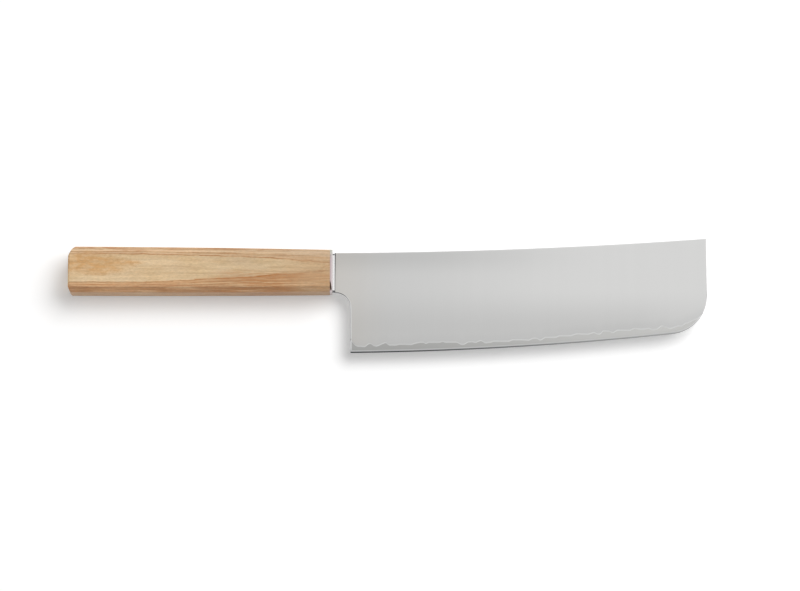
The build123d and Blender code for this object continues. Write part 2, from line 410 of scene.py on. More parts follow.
def packed_border(settings):
    """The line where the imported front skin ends, from heel to nose: the points of its inner face that lie
    below the choil, as far as the first one on the nose's arc. It runs straight on past both ends."""
    corners = [corner.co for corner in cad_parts["cladding_front"].data.vertices]
    points = np.array(corners) - (FERRULE_HIGH.x, 0, MIDDLE_Z)
    on_core = np.abs(points[:, 2] - settings.core_thickness / 2) < TOUCH
    below_choil = points[:, 1] < -settings.choil_depth - settings.choil_radius - TOUCH
    line = np.unique(points[on_core & below_choil, :2], axis=0)
    line = line[np.diff(line[:, 0], prepend=-math.inf) > TOUCH]
    centre_x, centre_y, radius = nose_round(settings, 0)[:3]
    distance = np.hypot(line[:, 0] - centre_x, line[:, 1] - centre_y)
    on_arc = (line[:, 0] > centre_x) & (distance > radius - TOUCH)
    line = line[:np.argmax(on_arc) + 1]
    ends = line[[0, -1]]
    slant = ends - line[[1, -2]]
    past = ends + slant * (BORDER_OVERRUN / np.abs(slant[:, :1]))
    return np.concatenate((past[:1], line, past[1:])).T


def border_line(settings, x):
    """The border's y: straight from point to point, softened by the mean of three near places."""
    places, heights = packed_border(settings)
    shifts = (-BORDER_SOFTENING, 0, BORDER_SOFTENING)
    return sum(np.interp(x + shift, places, heights) for shift in shifts) / len(shifts)


SEARCH_POINTS = 4000


def nose_round(settings, lift):
    """The arc between edge and nose: its centre, where both lines cross once moved in by the radius, its
    radius, and the angle at which it meets the edge."""
    nose = blade_ends(settings)[1]
    radius = settings.nose_radius - lift
    x = np.linspace(nose - 3 * settings.nose_radius, nose, SEARCH_POINTS)
    y = edge_line(settings, x) + lift
    slope = np.gradient(y, x)
    length = np.sqrt(1 + slope ** 2)
    moved_x = x - radius * slope / length
    moved_y = y + radius / length
    gap = moved_x + radius - nose_line(settings, moved_y)
    centre_x = np.interp(0, gap, moved_x)
    centre_y = np.interp(0, gap, moved_y)
    foot_turn = -math.pi / 2 + np.interp(0, gap, np.arctan(slope))
    return centre_x, centre_y, radius, foot_turn


CHOIL_POINTS = 16
HEEL_POINTS = 14
EDGE_POINTS = 400
NOSE_POINTS = 34


def foot_curve(settings, lift, on_border):
    """The blade's lower outline from the shoulder to the end of the nose's arc, raised by lift, or, for a
    skin, with the border in place of the edge. Also tells which points lie on that border."""
    turns = np.linspace(math.pi / 2, 0, CHOIL_POINTS)
    choil_x = settings.neck_run + settings.choil_radius * np.cos(turns)
    choil_y = -settings.choil_depth - settings.choil_radius + settings.choil_radius * np.sin(turns)
    centre_x, centre_y, radius, foot_turn = nose_round(settings, lift)
    heel = blade_ends(settings)[0]
    if on_border:
        tries = np.linspace(centre_x, centre_x + radius * 0.999, SEARCH_POINTS)
        above = border_line(settings, tries) - (centre_y - np.sqrt(radius ** 2 - (tries - centre_x) ** 2))
        last_x = tries[np.argmax(above < 0)]
        first_turn = -math.acos((last_x - centre_x) / radius)
        x = np.linspace(heel, last_x, EDGE_POINTS)
        y = border_line(settings, x)
    else:
        first_turn = foot_turn
        x = np.linspace(heel, centre_x + radius * math.cos(foot_turn), EDGE_POINTS)
        y = edge_line(settings, x) + lift
    x[0] = heel_line(settings, y[0])
    heel_y = np.linspace(choil_y[-1], y[0], HEEL_POINTS + 1)[1:-1]
    lean = math.atan(settings.nose_lean / (settings.spine_at_nose + settings.nose_depth))
    nose_turns = np.linspace(first_turn, lean, NOSE_POINTS + 1)[1:]
    nose_x = centre_x + radius * np.cos(nose_turns)
    nose_y = centre_y + radius * np.sin(nose_turns)
    curve_x = np.concatenate(((0,), choil_x, heel_line(settings, heel_y), x, nose_x))
    curve_y = np.concatenate(((-settings.choil_depth,), choil_y, heel_y, y, nose_y))
    border = np.zeros(len(curve_x), bool)
    border[CHOIL_POINTS + HEEL_POINTS:][:EDGE_POINTS] = on_border
    return np.stack((curve_x, curve_y), axis=-1), border


HEEL_BUNCH = 4 * MM
NOSE_BUNCH = 24 * MM


def head_curve(settings, count):
    """The spine from neck to nose, with as many points as the lower outline, bunched to match its ends."""
    heel, nose = blade_ends(settings)
    last = nose - settings.nose_lean
    edge_start = CHOIL_POINTS + HEEL_POINTS
    places = (0, edge_start, edge_start + EDGE_POINTS - 1, count - 1)
    x = np.interp(np.arange(count), places, (0, heel + HEEL_BUNCH, last - NOSE_BUNCH, last))
    return np.stack((x, spine_line(settings, x)), axis=-1)


ROW_SHARES = np.concatenate(([0], np.linspace(0.02, 0.98, 25), [1]))


def web(head, foot, shares=ROW_SHARES):
    """Fills between two curves with straight columns: each point is a share of the way from head to foot."""
    return head[None] * (1 - shares[:, None, None]) + foot[None] * shares[:, None, None]


def rim_order(rows, columns):
    """Counts of the points round a grid, in order: along the head, down, back along the foot and up."""
    index = np.arange(rows * columns).reshape(rows, columns)
    return np.concatenate((index[0, :-1], index[:-1, -1], index[-1, :0:-1], index[:0:-1, 0]))


def rim_normals(outline):
    """Outward normals of a closed outline that runs clockwise: its direction, turned a quarter left."""
    along = np.roll(outline, -1, axis=0) - np.roll(outline, 1, axis=0)
    along /= np.linalg.norm(along, axis=1)[:, None]
    return np.stack((-along[:, 1], along[:, 0]), axis=-1)


def plate(top, top_z, loops, bottom, bottom_z):
    """A closed plate: a grid on top, loops of points down its rim, and a grid below. Each point has its own
    height."""
    rows, columns = top.shape[:2]
    rim = rim_order(rows, columns)
    sides = [np.column_stack((loop, z)) for loop, z in loops]
    upper = np.column_stack((top.reshape(-1, 2), np.ravel(top_z)))
    lower = np.column_stack((bottom.reshape(-1, 2), np.ravel(bottom_z)))
    points = np.concatenate([upper] + sides + [lower])
    starts = len(upper) + len(rim) * np.arange(len(sides))
    lower_start = len(upper) + len(rim) * len(sides)
    chains = [rim] + [start + np.arange(len(rim)) for start in starts] + [lower_start + rim]
    faces = [grid_quads(rows, columns), grid_quads(rows, columns, lower_start)[:, ::-1]]
    for above, below in zip(chains[:-1], chains[1:]):
        faces.append(np.stack((above, np.roll(above, -1), np.roll(below, -1), below), axis=-1))
    return points, faces


def place_blade(points, side=1):
    """Moves points from the blade's plane into the frame, on its front side or mirrored to its back."""
    return points * (1, 1, side) + (FERRULE_HIGH.x, 0, MIDDLE_Z)


def flank_half(settings, x, y):
    """Half the blade's thickness: a plane through the neck's spine and the feathered border's two ends."""
    heel, nose = blade_ends(settings)
    feather = settings.core_thickness / 2 + settings.feather
    spots = np.array([
        (heel, -settings.heel_depth + settings.band_height, feather),
        (nose, -settings.nose_depth + settings.band_height + settings.band_growth, feather),
        (0, settings.spine_at_neck, settings.spine_thickness / 2),
    ])
    flat = np.column_stack((spots[:, :2], np.ones(3)))
    across, up, level = np.linalg.solve(flat, spots[:, 2])
    return across * x + up * y + level


def back_distance(settings, points):
    """How far in front of the choil and the heel each point lies, in millimetres: above the choil's centre,
    its distance from that centre less the radius; below it, its distance from the heel's line."""
    centre_y = -settings.choil_depth - settings.choil_radius
    across = points[:, 0] - settings.neck_run
    above = np.hypot(across, points[:, 1] - centre_y) - settings.choil_radius
    below = points[:, 0] - heel_line(settings, points[:, 1])
    return np.where(points[:, 1] > centre_y, above, below) / MM


def skin_shape(settings, side):
    """A skin: the flank's plane over the core, rounded at its rim, and sloped down where it feathers out."""
    foot, on_border = foot_curve(settings, 0, True)
    head = head_curve(settings, len(foot))
    grid = web(head, foot)
    rows, columns = grid.shape[:2]
    rim = rim_order(rows, columns)
    outline = grid.reshape(-1, 2)[rim]
    normals = rim_normals(outline)
    rim_border = np.isin(rim, (rows - 1) * columns + np.flatnonzero(on_border))
    inset = np.where(rim_border, 2 * settings.softening, settings.softening)[:, None]
    top = grid.reshape(-1, 2).copy()
    top[rim] = outline - normals * inset
    half = flank_half(settings, top[:, 0], top[:, 1])
    core_half = settings.core_thickness / 2
    drop = np.minimum(settings.softening, 0.8 * (half[rim] - core_half))
    share = 1 - math.sqrt(0.5)
    loops = [
        (outline - normals * inset * share, half[rim] - drop * share),
        (outline, half[rim] - drop),
    ]
    points, faces = plate(top.reshape(grid.shape), half, loops, grid, np.full(rows * columns, core_half))
    if side < 0:
        faces = [group[:, ::-1] for group in faces]
    border = (points[:, 1] - border_line(settings, points[:, 0])) / MM
    # Painted shade on the rim's faces that look down, except along the border
    painted_under_shade = np.where(rim_border, 0, np.clip(-1.5 * normals[:, 1] - 0.3, 0, 1))
    under = np.zeros(len(points))
    under[rim] = painted_under_shade
    under[rows * columns:rows * columns + 2 * len(rim)] = np.tile(painted_under_shade, 2)
    values = {"border": border, "back": back_distance(settings, points), "under": under}
    return place_blade(points, side), faces, values


def core_shape(settings):
    """The core: a thin plate whose lower outline is bevelled down to the cutting edge, on both sides."""
    foot = foot_curve(settings, 0, False)[0]
    raised = foot_curve(settings, settings.bevel_height, False)[0]
    head = head_curve(settings, len(foot))
    grid = web(head, raised)
    rim = rim_order(*grid.shape[:2])
    outline = web(head, foot).reshape(-1, 2)[rim]
    core_half = settings.core_thickness / 2
    edge_half = settings.edge_thickness / 2
    loops = [(outline, np.full(len(rim), z)) for z in (edge_half, -edge_half)]
    size = grid.shape[0] * grid.shape[1]
    points, faces = plate(grid, np.full(size, core_half), loops, grid, np.full(size, -core_half))
    border = (points[:, 1] - border_line(settings, points[:, 0])) / MM
    bevel = np.zeros(len(points))
    below_choil = outline[:, 1] < -settings.choil_depth - settings.choil_radius
    bevel[size:size + 2 * len(rim)] = np.tile(below_choil, 2)
    values = {"border": border, "back": back_distance(settings, points), "bevel": bevel}
    return place_blade(points), faces, values


TANG_HEIGHT = 12.0 * MM
TANG_END_HEIGHT = 6.0 * MM
TANG_THICKNESS = 1.5 * MM
FAR = 9.0


def tang_shape():
    """The tang: a plate whose height grows evenly from a round end to the shoulder."""
    length = FERRULE_HIGH.x - CORE_LOW.x
    end = TANG_END_HEIGHT / 2
    turns = np.linspace(0.02, math.pi / 2, 12)
    x = np.concatenate((end - length - end * np.cos(turns), np.linspace(end - length, 0, 20)[1:]))
    half = np.concatenate((end * np.sin(turns), np.linspace(end, TANG_HEIGHT / 2, 20)[1:]))
    grid = web(np.stack((x, half), axis=-1), np.stack((x, -half), axis=-1), np.linspace(0, 1, 5))
    size = grid.shape[0] * grid.shape[1]
    half_thickness = np.full(size, TANG_THICKNESS / 2)
    points, faces = plate(grid, half_thickness, [], grid, -half_thickness)
    far = np.full(len(points), FAR)
    return place_blade(points), faces, {"border": far, "back": far, "bevel": np.zeros(len(points))}


def join_shapes(*shapes):
    """Puts several shapes into one set of points, faces and attributes."""
    counts = np.cumsum([0] + [len(shape[0]) for shape in shapes])
    points = np.concatenate([shape[0] for shape in shapes])
    faces = [group + count for shape, count in zip(shapes, counts) for group in shape[1]]
    values = {label: np.concatenate([shape[2][label] for shape in shapes]) for label in shapes[0][2]}
    return points, faces, values


# Materials: every mask and tone is a Value, and each step of its arithmetic adds one node

class Value:
    """What a node puts out, with arithmetic that adds nodes to the same tree."""

    def __init__(self, socket):
        self.socket = socket
        self.tree = socket.id_data

    def step(self, operation, *others):
        """One step of arithmetic, by the name of its operation."""
        inputs = dict(enumerate((self, *others)))
        return Value(add_node(self.tree, "ShaderNodeMath", inputs, operation=operation).outputs[0])

    def __add__(self, other):
        return self.step("ADD", other)

    def __sub__(self, other):
        return self.step("SUBTRACT", other)

    def __mul__(self, other):
        return self.step("MULTIPLY", other)

    def __truediv__(self, other):
        return self.step("DIVIDE", other)

    def spread(self, low, high, to_low=0.0, to_high=1.0):
        """Moves the value from one range to another, smoothly and held at both ends."""
        inputs = {"Value": self, "From Min": low, "From Max": high, "To Min": to_low, "To Max": to_high}
        made = add_node(self.tree, "ShaderNodeMapRange", inputs, interpolation_type="SMOOTHSTEP")
        return Value(made.outputs["Result"])

    def between(self, first, second):
        """Goes from the first number to the second as the value goes from 0 to 1."""
        made = add_node(self.tree, "ShaderNodeMix", {"Factor": self, 2: first, 3: second}, data_type="FLOAT")
        return Value(made.outputs[0])


def feed(socket, value):
    """Links a Value to a socket, or sets the socket's own number, vector or colour."""
    if isinstance(value, Value):
        value.tree.links.new(value.socket, socket)
    elif socket.type == "RGBA" and len(value) == 3:
        socket.default_value = (*value, 1)
    else:
        socket.default_value = value


def add_node(tree, kind, inputs=None, **settings):
    """Adds a node with its settings, and feeds its inputs."""
    made = tree.nodes.new(kind)
    for label, setting in settings.items():
        setattr(made, label, setting)
    for label, value in (inputs or {}).items():
        feed(made.inputs[label], value)
    return made


def lay(colour, over, share, blend="MIX"):
    """Lays one colour over another, as far as a share from 0 to 1 says."""
    tree = (over if isinstance(over, Value) else share).tree
    inputs = {"Factor": share, 6: colour, 7: over}
    return Value(add_node(tree, "ShaderNodeMix", inputs, data_type="RGBA", blend_type=blend).outputs[2])


def grey(tone):
    """The same value in all three channels."""
    return Value(add_node(tone.tree, "ShaderNodeCombineColor", {0: tone, 1: tone, 2: tone}).outputs[0])


def place_in_mm(tree, stretch=(1, 1, 1)):
    """The place on the piece in millimetres, stretched along each axis."""
    here = Value(add_node(tree, "ShaderNodeTexCoord").outputs["Object"])
    scale = tuple(value / MM for value in stretch)
    return Value(add_node(tree, "ShaderNodeMapping", {"Vector": here, "Scale": scale}).outputs["Vector"])


def split(place):
    """The three coordinates of a place."""
    return [Value(socket) for socket in add_node(place.tree, "ShaderNodeSeparateXYZ", {0: place}).outputs]


def scaled(place, factor):
    """A place times a factor."""
    inputs = {0: place, "Scale": factor}
    return Value(add_node(place.tree, "ShaderNodeVectorMath", inputs, operation="SCALE").outputs[0])


NOISE_RANGE = (0.3, 0.7)


def noise(place, scale=1.0, detail=3.0, roughness=0.5):
    """A cloud of noise, 0 to 1, mostly within NOISE_RANGE."""
    inputs = {"Vector": place, "Scale": scale, "Detail": detail, "Roughness": roughness}
    return Value(add_node(place.tree, "ShaderNodeTexNoise", inputs).outputs["Fac"])


def piece_value(tree, label):
    """One of the piece's own values."""
    made = add_node(tree, "ShaderNodeAttribute", attribute_name=label, attribute_type="GEOMETRY")
    return Value(made.outputs["Fac"])


def new_group(name, numbers, outputs):
    """Makes a node group that takes a place and some numbers, with their defaults, and puts out numbers."""
    tree = bpy.data.node_groups.new(name, "ShaderNodeTree")
    tree.interface.new_socket(name="Place", in_out="INPUT", socket_type="NodeSocketVector")
    for label, default in numbers.items():
        socket = tree.interface.new_socket(name=label, in_out="INPUT", socket_type="NodeSocketFloat")
        socket.default_value = default
    for label in outputs:
        tree.interface.new_socket(name=label, in_out="OUTPUT", socket_type="NodeSocketFloat")
    given = add_node(tree, "NodeGroupInput").outputs
    values = {label: Value(given[label]) for label in ("Place", *numbers)}
    return tree, values, add_node(tree, "NodeGroupOutput").inputs


COARSE_SHARE = 0.4
FINE_SHARE = 0.6
SLOW_SCALE = 0.06
WEAR_PATCHES = (0.35, 0.7)


def build_grinding(name):
    """Fine ground lines: coarse and fine noise drawn out one way, with slow changes of tone across them."""
    tree, given, out = new_group(name, {"Fineness": 5.0}, ("Lines", "Tone"))
    place = given["Place"]
    fine = noise(scaled(place, given["Fineness"]), roughness=0.6)
    feed(out["Lines"], noise(place, detail=2.0) * COARSE_SHARE + fine * FINE_SHARE)
    feed(out["Tone"], noise(scaled(place, SLOW_SCALE), detail=2.0))
    return tree


def build_wear(name):
    """Handling wear: the piece's own edge value, broken up by noise."""
    tree, given, out = new_group(name, {"Edge": 0.0, "Amount": 0.5}, ("Wear",))
    patches = noise(given["Place"], 0.7, 4.0, 0.6).spread(*WEAR_PATCHES)
    feed(out["Wear"], given["Edge"] * patches * given["Amount"])
    return tree


def put_group(tree, name, build, inputs):
    """Places a node group with its own values; the group is built the first time that it is asked for."""
    group = bpy.data.node_groups.get(name) or build(name)
    made = add_node(tree, "ShaderNodeGroup", node_tree=group)
    for label, value in inputs.items():
        feed(made.inputs[label], value)
    return {socket.name: Value(socket) for socket in made.outputs}


def ground_lines(tree, stretch, fineness):
    """The ground lines of a steel piece, and the slow tone across them."""
    inputs = {"Place": place_in_mm(tree, stretch), "Fineness": fineness}
    made = put_group(tree, "Grinding lines", build_grinding, inputs)
    return made["Lines"], made["Tone"]


def edge_wear(tree, place, amount):
    """Wear along the edges of a piece."""
    inputs = {"Place": place, "Edge": piece_value(tree, "edge"), "Amount": amount}
    return put_group(tree, "Edge wear", build_wear, inputs)["Wear"]


def new_material(name):
    """Makes a material with nothing but its Principled shader."""
    material = bpy.data.materials.new(name)
    material.use_nodes = True
    tree = material.node_tree
    tree.nodes.clear()
    shader = add_node(tree, "ShaderNodeBsdfPrincipled")
    add_node(tree, "ShaderNodeOutputMaterial", {"Surface": Value(shader.outputs[0])})
    return material, tree, shader


def set_surface(shader, colour, roughness, height, strength, distance_mm, metallic):
    """Feeds a shader its colour, its roughness and a bump."""
    inputs = {"Height": height, "Strength": strength, "Distance": distance_mm * MM}
    bump = add_node(height.tree, "ShaderNodeBump", inputs)
    feed(shader.inputs["Base Color"], colour)
    feed(shader.inputs["Roughness"], roughness)
    feed(shader.inputs["Normal"], Value(bump.outputs["Normal"]))
    shader.inputs["Metallic"].default_value = metallic


# A zone is two numbers, from where an effect begins to where it is full. Four numbers are a range: where
# it begins and ends, and the effect at each.

# Wood. Lengths are in millimetres, and places are the frame's

RING_STEP = 0.62
RING_FIRST = 13.64
RING_DEPTH = 12.0
RING_MIDDLE = 0.40
RING_DRIFT = 0.016
RING_CLIMB = 0.5
RING_CLIMB_START = -20.0
RING_BEND = 1.1
RING_RIPPLE = 0.55

# Parts of a ring's width: the dark late wood, the first ring's line, and where tan wood takes over from pale
LATE_WOOD = (0.45, 1.0)
EARLY_WOOD = (0.0, 0.16, 1.0, 0.0)
FIRST_LINE_START = (-0.16, -0.02)
FIRST_LINE_END = (0.02, 0.30, 1.0, 0.0)
OUTSIDE = (-0.10, 0.06)

LOW_TAN_ZONE = (-0.5, -3.0)
LOW_SIDE_ZONE = (-6.6, -8.2)
FRONT_STAIN_ALONG = (-6.0, 30.0)
FRONT_STAIN_UP = (0.6, -2.6)
FRONT_ZONE = (48.0, 70.0)
PALE_FRONT_ALONG = (28.0, 52.0)
PALE_FRONT_UP = (4.2, 7.0)
FLAME_ALONG = -50.0
FLAME_UP = 2.4
FLAME_LENGTH = 20.0
FLAME_HEIGHT = 4.9
FLAME_MOTTLE = 1.3
FLAME_CLOUD = 3.0
FLAME_RIM = (1.45, 0.25)
FLAME_PATCHES = (0.34, 0.62, 0.38, 0.82)
# Painted light and shade on the handle's facets off the top face: lightened on the lower side, darkened a
# little on the upper side, and a little lighter on the sides
CHAMFER_TOP = (0.15, 0.45)
SIDE_PAINTED_LIGHT = (1.6, 2.0, 1.0, 1.04)
CHAMFER_PAINTED_LIGHT = (-4.0, 4.0, 0.26, -0.06)
FRONT_TONE = (-20.0, 22.0, 1.0, 0.89)
SPECKLE = {
    "bands": (0.32, 0.68, 0.91, 1.05),
    "threads": (0.25, 0.75, 0.89, 1.08),
    "mottle": (0.25, 0.75, 0.88, 1.08),
}

# Each noise: cells in a millimetre along the grain and across it, detail, roughness
WOOD_NOISES = {
    "bend": (0.035, 0.16, 3.0, 0.50),
    "ripple": (0.13, 0.80, 3.0, 0.55),
    "streaks": (0.06, 1.70, 5.0, 0.62),
    "threads": (0.30, 5.00, 4.0, 0.65),
    "mottle": (0.70, 1.90, 4.0, 0.70),
    "cloud": (0.07, 0.22, 3.0, 0.50),
    "strength": (0.045, 0.50, 2.0, 0.50),
    "patches": (0.22, 0.50, 3.0, 0.60),
    "pores": (0.55, 6.00, 2.0, 0.50),
    "bands": (0.035, 0.75, 4.0, 0.60),
}

PALE_CLOUD = linear(219, 189, 147)
LIGHT_STREAK = linear(232, 206, 164)
FRONT_STAIN = linear(184, 124, 72)
FRONT_TAN = linear(209, 174, 135)
FRONT_PALE = linear(226, 200, 170)
PORE = linear(150, 104, 66)
WORN_WOOD = linear(226, 200, 164)


def ring_turn(grain, along, up, high):
    """How many rings out a place lies. Rings are circles round a line below the top that drifts sideways and
    climbs towards the ferrule: turn = (sqrt(across^2 + depth^2 + climb) + ripple - first) / step."""
    past = (along - RING_CLIMB_START).step("MAXIMUM", 0.0)
    across = (grain["bend"] - 0.5) * RING_BEND + (up - (past * RING_DRIFT + RING_MIDDLE))
    depth = high - (HANDLE_HIGH.z / MM - RING_DEPTH)
    radius = (past * RING_CLIMB + (across * across + depth * depth)).step("SQRT")
    return ((grain["ripple"] - 0.5) * RING_RIPPLE + radius - RING_FIRST) / RING_STEP, across


def wood_tone_and_painted_light(grain, along, up, high):
    """Light and dark over the wood: speckle, a darker front, painted light and shade on the facets and a
    painted highlight on the butt's end.
    """
    drop = (high - HANDLE_HIGH.z / MM) * -1.0
    # Painted light and shade on the facets
    painted_facet_light = drop.spread(*CHAMFER_TOP) * up.spread(*CHAMFER_PAINTED_LIGHT) + drop.spread(*SIDE_PAINTED_LIGHT)
    butt = HANDLE_LOW.x / MM
    # A darker front, and a painted highlight on the butt's end
    tone = along.spread(*FRONT_TONE) * painted_facet_light * along.spread(butt + 0.1, butt + 0.7, 1.45, 1.0)
    for label, limits in SPECKLE.items():
        tone = tone * grain[label].spread(*limits)
    return tone


def wood_material(settings):
    """Pale open-grained wood. Its rings show as long arches on the upper face: pale inside the first ring,
    tan with close lines outside it. Streaks, mottling and pores run along the grain, and a darker flame lies
    by the butt."""
    material, tree, shader = new_material("pale_wood")
    place = place_in_mm(tree)
    along, up, high = split(place)
    grain = {
        label: noise(place_in_mm(tree, (lengthwise, crosswise, crosswise)), 1.0, detail, roughness)
        for label, (lengthwise, crosswise, detail, roughness) in WOOD_NOISES.items()
    }
    streaks, mottle, cloud = grain["streaks"], grain["mottle"], grain["cloud"]
    turn, across = ring_turn(grain, along, up, high)
    phase = (turn + 20.0).step("FRACT")
    outside = turn.spread(*OUTSIDE)
    line = phase.spread(*LATE_WOOD).step("MAXIMUM", phase.spread(*EARLY_WOOD))
    first = turn.spread(*FIRST_LINE_START) * turn.spread(*FIRST_LINE_END)
    strength = grain["strength"].spread(0.3, 0.62, 0.25, 1.0)
    pores = grain["pores"].spread(0.62, 0.72) * (line * 0.4 + 0.4)

    flame_x = (along - FLAME_ALONG) / FLAME_LENGTH
    flame_y = (up - FLAME_UP) / FLAME_HEIGHT
    uneven = (mottle - 0.5) * FLAME_MOTTLE + (cloud - 0.5) * FLAME_CLOUD
    flame = (flame_x * flame_x + flame_y * flame_y + uneven).spread(*FLAME_RIM)
    flame = flame * grain["patches"].spread(*FLAME_PATCHES)

    low_side = ((grain["bend"] - 0.5) * 2.0 + up).spread(*LOW_SIDE_ZONE)
    stain = along.spread(*FRONT_STAIN_ALONG) * up.spread(*FRONT_STAIN_UP)
    stain = stain * streaks.spread(0.60, 0.44) * mottle.spread(0.35, 0.6, 0.4, 0.85)
    pale_front = along.spread(*PALE_FRONT_ALONG) * up.spread(*PALE_FRONT_UP) * streaks.spread(0.35, 0.6)

    pale = lay(settings.pale, PALE_CLOUD, cloud.spread(0.35, 0.68))
    tan = lay(settings.tan, settings.low_tan, across.spread(*LOW_TAN_ZONE))
    colour = lay(pale, tan, outside)
    for over, share in (
        (LIGHT_STREAK, streaks.spread(0.45, 0.72) * 0.5),
        (settings.ring, streaks.spread(0.50, 0.28) * outside.spread(0.0, 1.0, 0.16, 0.5)),
        (settings.ring, line * strength * outside.spread(0.0, 1.0, 0.06, 0.78)),
        (settings.ring, first * strength.spread(0.25, 1.0, 0.55, 1.0) * 0.85),
        (settings.red, low_side * streaks.spread(0.38, 0.62, 0.85, 0.25)),
        (FRONT_STAIN, stain),
        (FRONT_TAN, (cloud * 30.0 + along).spread(*FRONT_ZONE) * 0.58),
        (FRONT_PALE, pale_front * 0.55),
        (settings.amber, flame),
        (PORE, pores * 0.5),
    ):
        colour = lay(colour, over, share)
    # Painted light on the facets and the butt, with the wood's speckle and darker front
    colour = lay(colour, grey(wood_tone_and_painted_light(grain, along, up, high)), 1.0, "MULTIPLY")
    wear = edge_wear(tree, place, 0.15)
    colour = lay(colour, WORN_WOOD, wear)
    roughness = wear * -0.15 + grain["threads"].spread(*NOISE_RANGE, 0.46, 0.60)
    set_surface(shader, colour, roughness, grain["threads"] * 0.25 - pores, 0.5, 0.06, 0.0)
    shader.inputs["Coat Weight"].default_value = 0.05
    shader.inputs["Coat Roughness"].default_value = 0.35
    return material


# Polished steel. Zones are in the frame's millimetres

# The cap's rim colour is a painted highlight; the cap's shade and the collar's end colour are painted shade
CAP_TOP = linear(186, 185, 174)
CAP_RIM_HIGHLIGHT = linear(232, 230, 229)
CAP_SHADE = linear(84, 64, 56)
COLLAR_END_SHADE = linear(40, 35, 46)
CAP_TOP_ZONE = (5.0, 9.0)
CAP_SHADE_TOP = (-4.4, -6.6)
CAP_SHADE_FOOT = (-9.2, -8.9)
CAP_SHADE_BACK = 1.735
CAP_SHADE_SLOPE = -0.107
CAP_SHADE_WIDTH = (0.50, 0.28)


def polished_material(settings):
    """Polished stainless steel with faint turning lines and fine wear on its corners. The cap is duller than
    the collar and tinted by a painted reflection of the wood, with a painted highlight on its front rim and
    a painted shade wedge low down, where it faces the shadow. Painted shade darkens the collar's two ends."""
    material, tree, shader = new_material("polished_steel")
    place = place_in_mm(tree)
    along, up = split(place)[:2]
    lines = ground_lines(tree, (6.0, 0.3, 0.3), 3.0)[0]
    wear = edge_wear(tree, place, 0.3)
    front = (FERRULE_LOW.x + settings.cap_length) / MM
    # Painted shade in a wedge low on the cap
    off_wedge = (along - (up * CAP_SHADE_SLOPE + (front - CAP_SHADE_BACK))).step("ABSOLUTE")
    wedge = off_wedge.spread(*CAP_SHADE_WIDTH) * up.spread(*CAP_SHADE_TOP) * up.spread(*CAP_SHADE_FOOT)
    on_collar = along.spread(front - 0.05, front + 0.05)
    top = (settings.collar_height / 2 - settings.collar_drop) / MM
    foot = top - settings.collar_height / MM
    # Painted shade at the collar's two ends, where the gaps by the neck lie in shadow
    ends = up.spread(top - 0.9, top - 0.4, 0.0, 0.75) + up.spread(foot + 0.7, foot + 0.2, 0.0, 0.98)
    # The cap's base colour holds a painted reflection of the wood
    colour = lay(settings.cap_steel_painted_reflection, CAP_TOP, up.spread(*CAP_TOP_ZONE))
    # A painted highlight on the cap's front rim, then painted shade in the wedge and at the collar's ends
    for over, share in (
        (CAP_RIM_HIGHLIGHT, along.spread(front - 0.6, front - 0.1, 0.0, 0.6)),
        (CAP_SHADE, wedge),
        (settings.metal, on_collar),
        (COLLAR_END_SHADE, on_collar * ends),
    ):
        colour = lay(colour, over, share)
    roughness = wear * 0.12 + lines.spread(*NOISE_RANGE, 0.14, 0.20)
    set_surface(shader, colour, roughness, lines, 0.12, 0.01, 1.0)
    return material


# The blade. Zones are in millimetres: along and up in the frame, above the border, or in front of the heel

NECK_WARMTH = linear(255, 252, 248)
BORDER_SHADE = linear(170, 171, 172)
NECK_ZONE = (92.0, 62.0)
# The skin's tone along the blade is a painted sheen; the drops by the spine and towards the foot are painted
# shade
SKIN_PAINTED_SHEEN = (58.0, 182.0, 0.925, 1.055)
SPINE_DROP_ALONG = (95.0, 195.0, 0.115, 0.0)
SPINE_DROP_UP = (-2.5, 8.5)
FOOT_DROP_ALONG = (70.0, 180.0, 0.10, 0.17)
FOOT_DROP_UP = (-6.0, -27.0)
FOOT_DROP_NOSE = (195.0, 230.0, 1.0, 0.7)
# Painted shade just above the border
SHADE_OVER_BORDER = (5.0, 0.6, 0.0, 0.10)
SKIN_LINE_START = (-0.9, -0.5)
SKIN_LINE_END = (0.18, 0.50, 1.0, 0.0)
CORE_LINE_START = (-0.30, -0.08)
LINE_ALONG = (70.0, 200.0, 0.75, 1.0)
# A painted highlight along the heel's rim
RIM_BACK = (0.75, 0.35)
RIM_UP = (-8.0, -17.0, 0.15, 0.75)
# Painted shadow where the blade meets the collar
CONTACT_START = 0.60
CONTACT_END = 0.25
CONTACT_UP = (-8.0, 8.0, 0.35, 0.85)
# The core's tone along the blade is a painted sheen; the bevel's light is a painted highlight and its dark a
# painted dark reflection
CORE_PAINTED_SHEEN = (80.0, 215.0, 0.895, 1.27)
BEVEL_LIGHT = (0.10, 0.28)
BEVEL_LIGHT_ALONG = (70.0, 225.0, 0.50, 0.35)
BEVEL_DARK = (0.55, 0.68)
BEVEL_DARK_ALONG = (70.0, 225.0, 1.0, 0.35)


